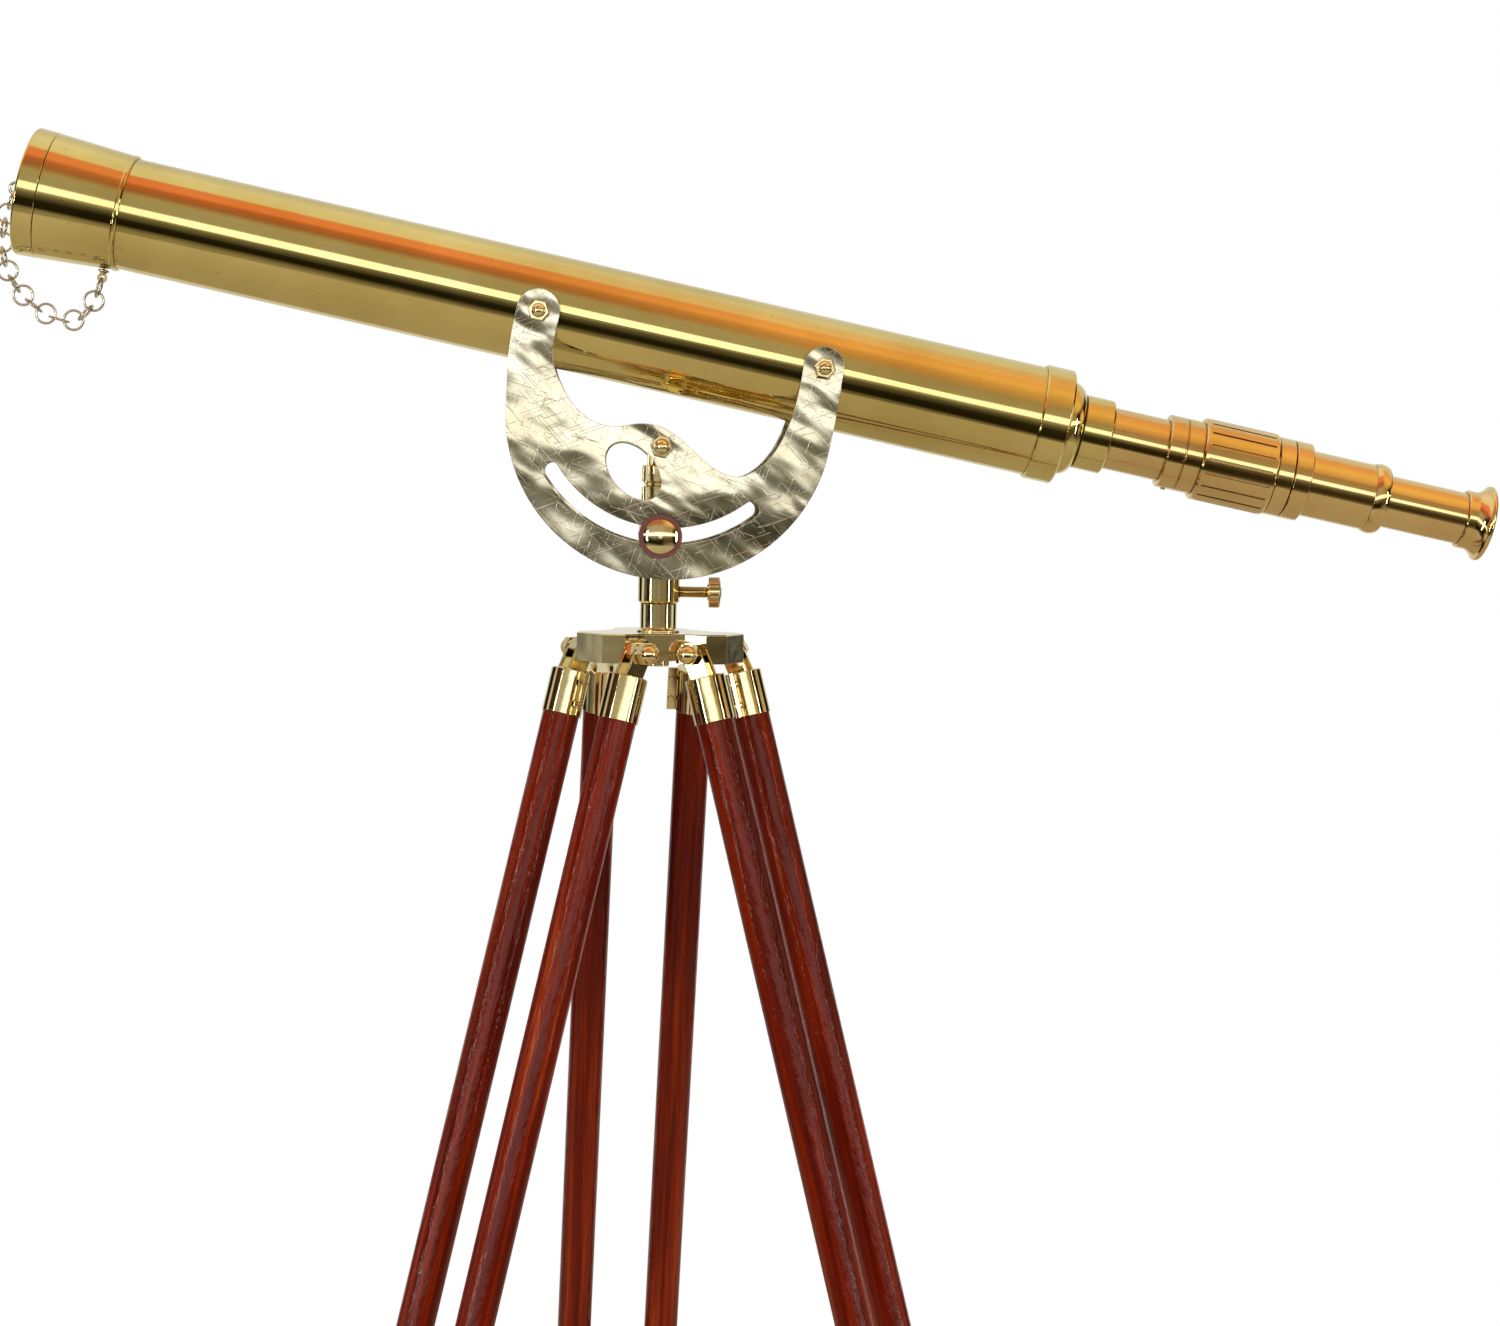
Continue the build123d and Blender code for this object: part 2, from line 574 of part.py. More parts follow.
CLAMP_HEAD_R = 11.6
head_arc = [(radius, height) for height, radius in dome(WASHER_OUT + 1.4, CLAMP_HEAD_R, 3.2)]
with BuildPart() as clamp_bolt:
    with BuildSketch(Plane.XZ):
        with BuildLine():
            Polyline(head_arc[2], (0, -WASHER_OUT - 12.0), (2.4, -WASHER_OUT - 12.0),
                     (CLAMP_R, -WASHER_OUT - 11.2), (CLAMP_R, WASHER_OUT),
                     (CLAMP_HEAD_R - 0.4, WASHER_OUT), (CLAMP_HEAD_R, WASHER_OUT + 0.4),
                     head_arc[0])
            ThreePointArc(*head_arc)
        make_face()
    revolve(axis=Axis.Z)
clamp_place = post_place * Location((0, 0, CLAMP_HEIGHT), (90, 0, 0))
stand("clamp_bolt", clamp_bolt, clamp_place)

KNOB_R = 14.0
KNOB_HEIGHT = 14.0
knob_blank = turned_z([
    (CLAMP_R + RUN, 0), (8.5, 0), (8.5, 2.4), (KNOB_R - 1.0, 2.4), (KNOB_R, 3.4),
    (KNOB_R, KNOB_HEIGHT - 1.6), (KNOB_R - 1.6, KNOB_HEIGHT), (5.5, KNOB_HEIGHT),
    (5.0, KNOB_HEIGHT + 0.8), (0, KNOB_HEIGHT + 0.8), (0, KNOB_HEIGHT - 1.0),
    (CLAMP_R + RUN, KNOB_HEIGHT - 1.0),
])
with BuildPart() as clamp_knob:
    add(knob_blank.part)
    with Locations((0, 0, KNOB_HEIGHT / 2 + 1)):
        with PolarLocations(KNOB_R + 0.25, 40):
            Box(1.3, 1.3, KNOB_HEIGHT, rotation=(0, 0, 45), mode=Mode.SUBTRACT)
stand("clamp_knob", clamp_knob,
      post_place * Location((0, WASHER_OUT + 0.3, CLAMP_HEIGHT), (-90, 0, 0)))

thumb_screw = knurled_screw(SPIGOT_R - 0.9, 34.5, 42.5, 10.5, 32)
stand("thumb_screw", thumb_screw, post_place * Location((0, 0, THUMB_HEIGHT)))

# ================================================================ tripod head
NUT_TOP = -WEB_THICK - 0.1
post_blank = turned_z([
    (0, -24.0), (7.2, -24.0), (8.0, -23.2), (8.0, 0.05), (15.0, 0.05), (15.0, 0.9),
    (POST_R + 0.6, 1.9), (POST_R, 3.2), (POST_R, SLEEVE_FOOT - 1.0),
    (POST_R - 0.6, SLEEVE_FOOT - 0.3), (SPIGOT_R, SLEEVE_FOOT - 0.3),
    (SPIGOT_R, THUMB_HEIGHT - 4.6), (SPIGOT_R - 1.2, THUMB_HEIGHT - 3.6),
    (SPIGOT_R - 1.2, THUMB_HEIGHT + 3.6), (SPIGOT_R, THUMB_HEIGHT + 4.6),
    (SPIGOT_R, SPIGOT_TOP - 1.0), (SPIGOT_R - 1.0, SPIGOT_TOP), (0, SPIGOT_TOP),
])
stand("tripod_post", post_blank, post_place)

with BuildPart() as post_nut:
    with BuildSketch(Plane.XY.offset(NUT_TOP)):
        RegularPolygon(13.0, 6, major_radius=False)
        Circle(8.0 + SEAT, mode=Mode.SUBTRACT)
    extrude(amount=-8.0)
    chamfer(post_nut.faces().sort_by(Axis.Z)[0].outer_wire().edges(), 0.8)
stand("post_nut", post_nut, post_place)

with BuildPart() as tripod_head:
    with BuildSketch():
        with PolarLocations(0, 3, start_angle=LEG_AZIMUTHS[0]):
            Polygon((0, -LOBE_HALF_WIDTH), (LOBE_NOSE - LOBE_BEVEL, -LOBE_HALF_WIDTH),
                    (LOBE_NOSE, LOBE_BEVEL - LOBE_HALF_WIDTH),
                    (LOBE_NOSE, LOBE_HALF_WIDTH - LOBE_BEVEL),
                    (LOBE_NOSE - LOBE_BEVEL, LOBE_HALF_WIDTH), (0, LOBE_HALF_WIDTH),
                    align=None)
        RegularPolygon(WEB_APOTHEM, 6, major_radius=False, rotation=LEG_AZIMUTHS[0] + 30)
    extrude(amount=-WEB_THICK)
    chamfer(tripod_head.faces().sort_by(Axis.Z)[-1].edges(), 0.8)
    with BuildSketch(Plane.XY.offset(-WEB_THICK)):
        with PolarLocations(0, 3, start_angle=LEG_AZIMUTHS[0]):
            Polygon((25.0, -LOBE_HALF_WIDTH), (LOBE_NOSE - LOBE_BEVEL, -LOBE_HALF_WIDTH),
                    (LOBE_NOSE, LOBE_BEVEL - LOBE_HALF_WIDTH),
                    (LOBE_NOSE, LOBE_HALF_WIDTH - LOBE_BEVEL),
                    (LOBE_NOSE - LOBE_BEVEL, LOBE_HALF_WIDTH), (25.0, LOBE_HALF_WIDTH),
                    align=None)
    extrude(amount=WEB_THICK - LOBE_THICK)
    with BuildSketch():
        Circle(8.0 + SEAT)
    extrude(amount=-WEB_THICK, mode=Mode.SUBTRACT)
    with PolarLocations(LEG_BOLT_RADIUS, 3, start_angle=LEG_AZIMUTHS[0]):
        with Locations((0, 0, -LEG_BOLT_DROP)):
            Cylinder(BOLT_R + SEAT, 2 * LOBE_HALF_WIDTH + 2, rotation=(90, 0, 0),
                     mode=Mode.SUBTRACT)
stand("tripod_head", tripod_head, post_place)

LEG_NUT_FACE = TAB_OUT + TAB_THICK + 0.2
leg_nut = acorn_nut(BOLT_R + SEAT, 14.0, 6.2, 6.6)
with BuildPart() as leg_pivot_bolts:
    with PolarLocations(LEG_BOLT_RADIUS, 3, start_angle=LEG_AZIMUTHS[0]):
        with Locations((0, 0, -LEG_BOLT_DROP)):
            Cylinder(BOLT_R, 2 * (LEG_NUT_FACE + 6.2), rotation=(90, 0, 0))
            with Locations(Location((0, LEG_NUT_FACE, 0), (-90, 0, 0)),
                           Location((0, -LEG_NUT_FACE, 0), (90, 0, 0))):
                add(leg_nut.part)
stand("leg_pivot_bolts", leg_pivot_bolts, post_place)

SPACER_IN = TAB_IN + TAB_THICK + 0.15
SPACER_LONG = TAB_OUT - 0.15 - SPACER_IN
with BuildPart() as leg_spacer:
    with BuildSketch():
        RegularPolygon(6.7, 6, major_radius=False)
        Circle(BOLT_R + SEAT, mode=Mode.SUBTRACT)
    extrude(amount=SPACER_LONG)
with BuildPart() as leg_pivot_spacers:
    with PolarLocations(LEG_BOLT_RADIUS, 3, start_angle=LEG_AZIMUTHS[0]):
        with Locations((0, 0, -LEG_BOLT_DROP)):
            with Locations(Location((0, SPACER_IN, 0), (-90, 0, 0)),
                           Location((0, -SPACER_IN, 0), (90, 0, 0))):
                add(leg_spacer.part)
stand("leg_pivot_spacers", leg_pivot_spacers, post_place)

# ================================================================ one leg, upright
# Origin between the rods at the bolt's height; X outward, Y along the bolt, Z up the leg.
TAB_HALF = 6.8
FLANGE_REACH = 6.0
with BuildPart() as ferrules:
    for side in (1, -1):
        with Locations((0, side * ROD_OFFSET, FERRULE_FOOT)):
            Cylinder(FERRULE_R, FERRULE_TOP - FERRULE_FOOT,
                     align=(Align.CENTER, Align.CENTER, Align.MIN))
    chamfer(ferrules.edges().filter_by(GeomType.CIRCLE).group_by(Axis.Z)[-1], 0.8)
    for side in (1, -1):
        flange_mid = side * (ROD_OFFSET - FERRULE_R - FLANGE_REACH / 2 + 0.5)
        with Locations((0, flange_mid, (FERRULE_TOP + FERRULE_FOOT) / 2)):
            Box(2.4, FLANGE_REACH + 1.0, FERRULE_TOP - FERRULE_FOOT)
        for height in (FERRULE_TOP - 8.0, FERRULE_FOOT + 8.0):
            with Locations((0, flange_mid - side * 1.0, height)):
                Cylinder(1.9, 5.4, rotation=(0, 90, 0))
        with Locations((0, side * ROD_OFFSET, FERRULE_FOOT)):
            Cylinder(ROD_R + SEAT, 28.0, align=(Align.CENTER, Align.CENTER, Align.MIN),
                     mode=Mode.SUBTRACT)
        for near in (TAB_IN, TAB_OUT):
            middle = side * (near + TAB_THICK / 2)
            with BuildSketch(Plane.XZ.offset(-middle - TAB_THICK / 2)):
                with Locations((-ROD_LEAD, 0)):
                    Circle(TAB_HALF)
                Polygon((-ROD_LEAD - TAB_HALF, 0), (-TAB_HALF, FERRULE_TOP - 1.0),
                        (TAB_HALF, FERRULE_TOP - 1.0), (TAB_HALF - ROD_LEAD, 0), align=None)
                with Locations((-ROD_LEAD, 0)):
                    Circle(BOLT_R + RUN, mode=Mode.SUBTRACT)
            extrude(amount=TAB_THICK)

with BuildPart() as upper_rods:
    with Locations((0, ROD_OFFSET, ROD_FOOT), (0, -ROD_OFFSET, ROD_FOOT)):
        Cylinder(ROD_R, FERRULE_FOOT + 27.9 - ROD_FOOT,
                 align=(Align.CENTER, Align.CENTER, Align.MIN))

BRACKET_R = 14.8
with BuildPart() as lower_bracket:
    with BuildSketch(Plane.XY.offset(BRACKET_FOOT)):
        with Locations((0, ROD_OFFSET), (0, -ROD_OFFSET)):
            Circle(BRACKET_R)
        Circle(BRACKET_R + 1.2)
        Rectangle(16.0, 2 * ROD_OFFSET)
    extrude(amount=BRACKET_TOP - BRACKET_FOOT)
    chamfer(lower_bracket.faces().sort_by(Axis.Z)[-1].edges(), 0.8)
    with BuildSketch(Plane.XY.offset(ROD_FOOT - 0.1)):
        with Locations((0, ROD_OFFSET), (0, -ROD_OFFSET)):
            Circle(ROD_R + SEAT)
    extrude(amount=BRACKET_TOP - ROD_FOOT + 1, mode=Mode.SUBTRACT)
    with BuildSketch(Plane.XY.offset(BRACKET_FOOT)):
        Circle(LOWER_ROD_R + RUN)
    extrude(amount=BRACKET_TOP - BRACKET_FOOT, mode=Mode.SUBTRACT)
    with Locations((0, 0, CLAMP_DROP)):
        Cylinder(7.5, 20.5, rotation=(0, 90, 0), align=(Align.CENTER, Align.CENTER, Align.MIN))
        Cylinder(LOWER_ROD_R + RUN, 30, mode=Mode.SUBTRACT)
        Cylinder(BOLT_R + RUN, 22, rotation=(0, 90, 0),
                 align=(Align.CENTER, Align.CENTER, Align.MIN), mode=Mode.SUBTRACT)

with BuildPart() as lower_rod:
    with Locations((0, 0, LOWER_ROD_FOOT)):
        Cylinder(LOWER_ROD_R, LOWER_ROD_TOP - LOWER_ROD_FOOT,
                 align=(Align.CENTER, Align.CENTER, Align.MIN))
    chamfer(lower_rod.edges().group_by(Axis.Z)[-1], 1.0)

FLOOR_NORMAL = (math.sin(LEAN), 0, math.cos(LEAN))
foot_blank = turned_z([
    (0, LOWER_ROD_FOOT - 0.05), (LOWER_ROD_R + SEAT, LOWER_ROD_FOOT - 0.05),
    (LOWER_ROD_R + SEAT, FOOT_TOP), (13.4, FOOT_TOP), (14.0, FOOT_TOP - 0.8),
    (14.0, LOWER_ROD_FOOT - 6.0), (15.2, LOWER_ROD_FOOT - 8.0),
    (15.2, LOWER_ROD_FOOT - 11.0), (13.0, LOWER_ROD_FOOT - 13.5),
    (10.5, -LEG_LENGTH - 6.0), (0, -LEG_LENGTH - 6.0),
])
with BuildPart() as foot:
    add(foot_blank.part)
    split(bisect_by=Plane(origin=(0, 0, -LEG_LENGTH), z_dir=FLOOR_NORMAL), keep=Keep.TOP)

leg_screw = knurled_screw(LOWER_ROD_R + 0.15, 26.0, 34.0, 10.5, 32)

for number, place in enumerate(leg_places, start=1):
    stand(f"leg_{number}_ferrules", ferrules, place)
    stand(f"leg_{number}_upper_rods", upper_rods, place)
    stand(f"leg_{number}_lower_bracket", lower_bracket, place)
    stand(f"leg_{number}_lower_rod", lower_rod, place)
    stand(f"leg_{number}_foot", foot, place)
    stand(f"leg_{number}_clamp_screw", leg_screw, place * Location((0, 0, CLAMP_DROP)))

# ================================================================ centre and write
def solids_of(piece):
    """The finished shape of a piece, whether still in its builder or a plain group."""
    return piece if isinstance(piece, Compound) else piece.part


boxes = [solids_of(piece).moved(place).bounding_box() for label, piece, place in pieces]
low = Vector(min(b.min.X for b in boxes), min(b.min.Y for b in boxes), min(b.min.Z for b in boxes))
high = Vector(max(b.max.X for b in boxes), max(b.max.Y for b in boxes), max(b.max.Z for b in boxes))
shift = Location((-(low.X + high.X) / 2, -(low.Y + high.Y) / 2, -low.Z))
print(f"box {high - low}")
print(f"post axis at {shift.position}")

for label, piece, place in pieces:
    placed = solids_of(piece).moved(shift * place)
    placed.label = label
    export_step(placed, f"parts/{label}.step")
print(f"{len(pieces)} pieces")
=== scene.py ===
import math

import bpy
from mathutils import Matrix, Vector


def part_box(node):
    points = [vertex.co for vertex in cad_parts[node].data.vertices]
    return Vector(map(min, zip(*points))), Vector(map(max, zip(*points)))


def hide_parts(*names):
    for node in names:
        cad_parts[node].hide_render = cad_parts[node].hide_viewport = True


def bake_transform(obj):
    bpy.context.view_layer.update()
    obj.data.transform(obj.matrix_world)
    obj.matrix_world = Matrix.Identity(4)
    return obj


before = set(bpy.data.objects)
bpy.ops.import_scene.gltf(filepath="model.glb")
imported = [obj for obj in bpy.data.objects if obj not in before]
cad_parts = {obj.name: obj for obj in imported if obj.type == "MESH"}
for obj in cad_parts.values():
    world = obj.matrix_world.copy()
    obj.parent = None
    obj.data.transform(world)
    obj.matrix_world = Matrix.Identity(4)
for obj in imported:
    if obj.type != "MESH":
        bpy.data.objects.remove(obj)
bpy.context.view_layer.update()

# Lengths are in metres and angles in radians, unless a comment says otherwise.

ELEVATION = math.radians(11.6)  # the telescope's slope, which its polish marks follow
LEG_TILT = math.radians(15.2)   # the legs' lean, which the wood's grain follows
LEG_AZIMUTHS = (96, 216, 336)   # where legs 1 to 3 stand round the post, in degrees


def middle(node):
    """The middle of a CAD node's box."""
    low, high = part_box(node)
    return (Vector(low) + Vector(high)) / 2


def link(thing):
    bpy.context.scene.collection.objects.link(thing)


POST = middle("yoke_post")
HEAD_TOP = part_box("tripod_head")[1][2]

# ---------------------------------------------------------------- camera

SENSOR_WIDTH = 36.0      # millimetres
FOCAL_LENGTH = 70.1208   # millimetres
CAMERA_FROM_POST = Vector((-0.0213, -2.0264, 0.0985))  # from the post's axis, at the height of the head's top
YAW = 0.0422             # from +Y towards +X
PITCH = 0.0588           # below level
ROLL = -0.0193           # clockwise, seen from behind the camera


def add_camera():
    forward = Vector((math.sin(YAW) * math.cos(PITCH), math.cos(YAW) * math.cos(PITCH), -math.sin(PITCH)))
    level = Vector((math.cos(YAW), -math.sin(YAW), 0))
    below = forward.cross(level)
    right = level * math.cos(ROLL) + below * math.sin(ROLL)
    down = below * math.cos(ROLL) - level * math.sin(ROLL)
    data = bpy.data.cameras.new("camera")
    data.sensor_width = SENSOR_WIDTH
    data.lens = FOCAL_LENGTH
    camera = bpy.data.objects.new("camera", data)
    link(camera)
    turn = Matrix((right, -down, -forward)).transposed().to_4x4()
    place = Vector((POST.x, POST.y, HEAD_TOP)) + CAMERA_FROM_POST
    camera.matrix_world = Matrix.Translation(place) @ turn
    bpy.context.scene.camera = camera
    bpy.context.scene.view_settings.view_transform = "Standard"


# ---------------------------------------------------------------- shader helpers

MIX_A, MIX_B = 6, 7  # the colour inputs of a Mix node
MIX_RESULT = 2       # and its colour output


class Graph:
    """A node tree with short calls for the nodes used here."""

    def __init__(self, tree):
        self.nodes = tree.nodes
        self.links = tree.links
        self.nodes.clear()

    def add(self, kind, **settings):
        node = self.nodes.new(kind)
        for key, value in settings.items():
            setattr(node, key, value)
        return node

    def join(self, source, target):
        self.links.new(source, target)

    def feed(self, socket, value):
        """Link a socket to the output given, or set it to the value given."""
        if isinstance(value, bpy.types.NodeSocket):
            self.join(value, socket)
        else:
            socket.default_value = value

    def math(self, operation, a, b=0.0):
        node = self.add("ShaderNodeMath", operation=operation)
        self.feed(node.inputs[0], a)
        self.feed(node.inputs[1], b)
        return node.outputs[0]

    def spread(self, value, low, high, to_low=0.0, to_high=1.0, smooth=False):
        """The value's range from low to high, spread over to_low to to_high and held level past its ends."""
        node = self.add("ShaderNodeMapRange", interpolation_type="SMOOTHSTEP" if smooth else "LINEAR")
        self.feed(node.inputs["Value"], value)
        for name, number in (("From Min", low), ("From Max", high), ("To Min", to_low), ("To Max", to_high)):
            node.inputs[name].default_value = number
        return node.outputs["Result"]

    def mix(self, factor, a, b, blend="MIX"):
        node = self.add("ShaderNodeMix", data_type="RGBA", blend_type=blend)
        self.feed(node.inputs[0], factor)
        for index, value in ((MIX_A, a), (MIX_B, b)):
            if not isinstance(value, bpy.types.NodeSocket):
                value = (*value, 1.0)
            self.feed(node.inputs[index], value)
        return node.outputs[MIX_RESULT]

    def ramp(self, value, stops):
        node = self.add("ShaderNodeValToRGB")
        self.feed(node.inputs[0], value)
        points = node.color_ramp.elements
        while len(points) < len(stops):
            points.new(0.5)
        for point, (place, colour) in zip(points, stops):
            point.position = place
            point.color = (*colour, 1.0)
        return node.outputs[0]

    def mapping(self, vector, scale=(1, 1, 1), turn=(0, 0, 0)):
        """The vector scaled, then turned. To turn it before it is scaled, nest two calls."""
        node = self.add("ShaderNodeMapping")
        self.feed(node.inputs["Vector"], vector)
        node.inputs["Scale"].default_value = scale
        node.inputs["Rotation"].default_value = turn
        return node.outputs[0]

    def noise(self, vector, scale, detail=3.0, rough=0.55, twist=0.0):
        node = self.add("ShaderNodeTexNoise")
        self.feed(node.inputs["Vector"], vector)
        node.inputs["Scale"].default_value = scale
        node.inputs["Detail"].default_value = detail
        node.inputs["Roughness"].default_value = rough
        node.inputs["Distortion"].default_value = twist
        return node.outputs["Fac"]

    def bump(self, height, distance, normal=None):
        node = self.add("ShaderNodeBump")
        self.feed(node.inputs["Height"], height)
        node.inputs["Distance"].default_value = distance
        node.inputs["Strength"].default_value = 1.0
        if normal is not None:
            self.join(normal, node.inputs["Normal"])
        return node.outputs[0]


def start_material(name):
    """A new material with its graph, its shader and the object's own coordinates."""
    material = bpy.data.materials.new(name)
    material.use_nodes = True
    g = Graph(material.node_tree)
    shader = g.add("ShaderNodeBsdfPrincipled")
    g.join(shader.outputs[0], g.add("ShaderNodeOutputMaterial").inputs["Surface"])
    where = g.add("ShaderNodeTexCoord").outputs["Object"]
    return material, g, shader, where


# ---------------------------------------------------------------- light and floor


def stops_from(table):
    """Ramp stops from (angle round the X axis in degrees, colour) pairs: 0 is the front and 90 above."""
    return [(angle / 360 + 0.5, colour) for angle, colour in table]


BLACK = (0.0, 0.0, 0.0)
WHITE = (1.0, 1.0, 1.0)

LEFT_ROOM = stops_from((
    (-180, (0.80, 0.80, 0.76)),
    (-120, (0.60, 0.58, 0.50)),
    (-34, (0.30, 0.26, 0.18)),
    (-27, (0.015, 0.012, 0.004)),
    (-14, (0.02, 0.016, 0.006)),
    (-6, (0.16, 0.15, 0.11)),
    (2, (0.40, 0.38, 0.30)),
    (18, (0.45, 0.42, 0.34)),
    (36, (0.48, 0.42, 0.30)),
    (46, (0.42, 0.17, 0.08)),
    (58, (0.60, 0.17, 0.07)),
    (64, (0.98, 0.30, 0.14)),
    (80, (0.95, 0.32, 0.16)),
    (86, (0.90, 0.85, 0.68)),
    (112, (0.92, 0.90, 0.82)),
    (136, (0.70, 0.69, 0.64)),
    (180, (0.80, 0.80, 0.76)),
))
RIGHT_ROOM = stops_from((
    (-180, (0.80, 0.80, 0.76)),
    (-120, (0.60, 0.58, 0.50)),
    (-34, (0.30, 0.26, 0.18)),
    (-22, (0.10, 0.07, 0.03)),
    (-8, (0.10, 0.08, 0.04)),
    (2, (0.32, 0.27, 0.18)),
    (18, (0.40, 0.32, 0.18)),
    (34, (0.45, 0.27, 0.12)),
    (46, (0.85, 0.52, 0.20)),
    (66, (1.00, 0.66, 0.22)),
    (84, (0.98, 0.52, 0.20)),
    (104, (0.85, 0.48, 0.22)),
    (116, (0.75, 0.70, 0.60)),
    (180, (0.80, 0.80, 0.76)),
))
SOFT_BOX = stops_from(((-180, BLACK), (1.0, BLACK), (3.5, WHITE), (12, WHITE), (15, BLACK)))
SOFT_BOX_GLOW = (1.7, 1.7, 1.7)
UPRIGHT_COLOUR = (0.012, 0.010, 0.008)
BAND_WAVER = 0.035  # in turns: the width that the bands' edges waver over


def upright_mask(g, x, z):
    """1 on the two dark uprights, near level and far to each side, and 0 elsewhere."""
    reach = g.math("ABSOLUTE", x)
    upright = g.math("MULTIPLY", g.spread(reach, low=0.62, high=0.74, smooth=True),
                     g.spread(reach, low=0.93, high=0.97, to_low=1.0, to_high=0.0, smooth=True))
    level = g.spread(g.math("ABSOLUTE", z), low=0.30, high=0.55, to_low=1.0, to_high=0.0, smooth=True)
    return g.math("MULTIPLY", upright, level)


def room_light(g):
    """What the object reflects: bands round the X axis, dark uprights, and a long soft box in front."""
    way = g.add("ShaderNodeTexCoord").outputs["Generated"]
    parts = g.add("ShaderNodeSeparateXYZ")
    g.join(way, parts.inputs[0])
    x, y, z = parts.outputs
    angle = g.math("ARCTAN2", z, g.math("MULTIPLY", y, -1.0))
    turn = g.math("ADD", g.math("DIVIDE", angle, math.tau), 0.5)
    about_zero = g.math("SUBTRACT", g.noise(way, scale=3.0, detail=2.0), 0.5)
    soft_turn = g.math("ADD", turn, g.math("MULTIPLY", about_zero, BAND_WAVER))
    side = g.spread(x, low=0.02, high=0.42, smooth=True)
    room = g.mix(side, g.ramp(soft_turn, LEFT_ROOM), g.ramp(soft_turn, RIGHT_ROOM))
    room = g.mix(upright_mask(g, x, z), room, UPRIGHT_COLOUR)
    box = g.mix(1.0, g.ramp(turn, SOFT_BOX), SOFT_BOX_GLOW, blend="MULTIPLY")
    return g.mix(1.0, room, box, blend="ADD")


def add_world():
    """The room lights the object and shows in it, and the camera itself sees plain white."""
    world = bpy.data.worlds.new("studio")
    bpy.context.scene.world = world
    world.use_nodes = True
    g = Graph(world.node_tree)
    glow = g.add("ShaderNodeBackground")
    g.join(room_light(g), glow.inputs["Color"])
    glow.inputs["Strength"].default_value = 1.0
    paper = g.add("ShaderNodeBackground")
    paper.inputs["Color"].default_value = (*WHITE, 1.0)
    paper.inputs["Strength"].default_value = 1.0
    seen = g.add("ShaderNodeLightPath").outputs["Is Camera Ray"]
    both = g.add("ShaderNodeMixShader")
    g.join(seen, both.inputs[0])
    g.join(glow.outputs[0], both.inputs[1])
    g.join(paper.outputs[0], both.inputs[2])
    g.join(both.outputs[0], g.add("ShaderNodeOutputWorld").inputs["Surface"])


LAMP_SIZE = (0.12, 1.7)
LAMPS = (  # name, place, point it faces, watts, colour
    ("key_left", (-2.3, -2.2, 1.3), (0, 0, 0.9), 16, (1.0, 0.98, 0.95)),
    ("fill_right", (2.6, -1.8, 1.2), (0, 0, 0.8), 9, (1.0, 0.97, 0.94)),
)


def add_lamp(name, place, aim, power, colour):
    data = bpy.data.lights.new(name, "AREA")
    data.shape = "RECTANGLE"
    data.size, data.size_y = LAMP_SIZE
    data.energy = power
    data.color = colour
    lamp = bpy.data.objects.new(name, data)
    lamp.location = place
    lamp.rotation_euler = (Vector(aim) - Vector(place)).to_track_quat("-Z", "Y").to_euler()
    link(lamp)


FLOOR_REACH = 2.1
FLOOR_SIDES = 96


def add_floor():
    """A plain, round, pale floor."""
    turns = [math.tau * side / FLOOR_SIDES for side in range(FLOOR_SIDES)]
    points = [(FLOOR_REACH * math.cos(turn), FLOOR_REACH * math.sin(turn), 0) for turn in turns]
    mesh = bpy.data.meshes.new("floor")
    mesh.from_pydata(points, [], [list(range(FLOOR_SIDES))])
    floor = bpy.data.objects.new("floor", mesh)
    link(floor)
    material, g, shader, where = start_material("pale_floor")
    colour = g.mix(g.noise(where, scale=2.0), (0.52, 0.58, 0.54), (0.57, 0.63, 0.59))
    g.join(colour, shader.inputs["Base Color"])
    shader.inputs["Roughness"].default_value = 0.7
    mesh.materials.append(material)


# ---------------------------------------------------------------- materials


def rounded(g, radius):
    """A normal that catches light along sharp edges."""
    node = g.add("ShaderNodeBevel", samples=4)
    node.inputs["Radius"].default_value = radius
    return node.outputs[0]


def painted_corner_shade(g, colour, reach, shade_tint):
    """Painted shade: the colour darkened in corners and joints, where ambient occlusion finds them."""
    node = g.add("ShaderNodeAmbientOcclusion", samples=6)
    node.inputs["Distance"].default_value = reach
    # painted shade: the more occluded the spot, the more the colour goes to the shade colour
    shade_amount = g.spread(node.outputs["AO"], low=0.35, high=0.80, to_low=0.85, to_high=0.0)
    return g.mix(shade_amount, colour, shade_tint)


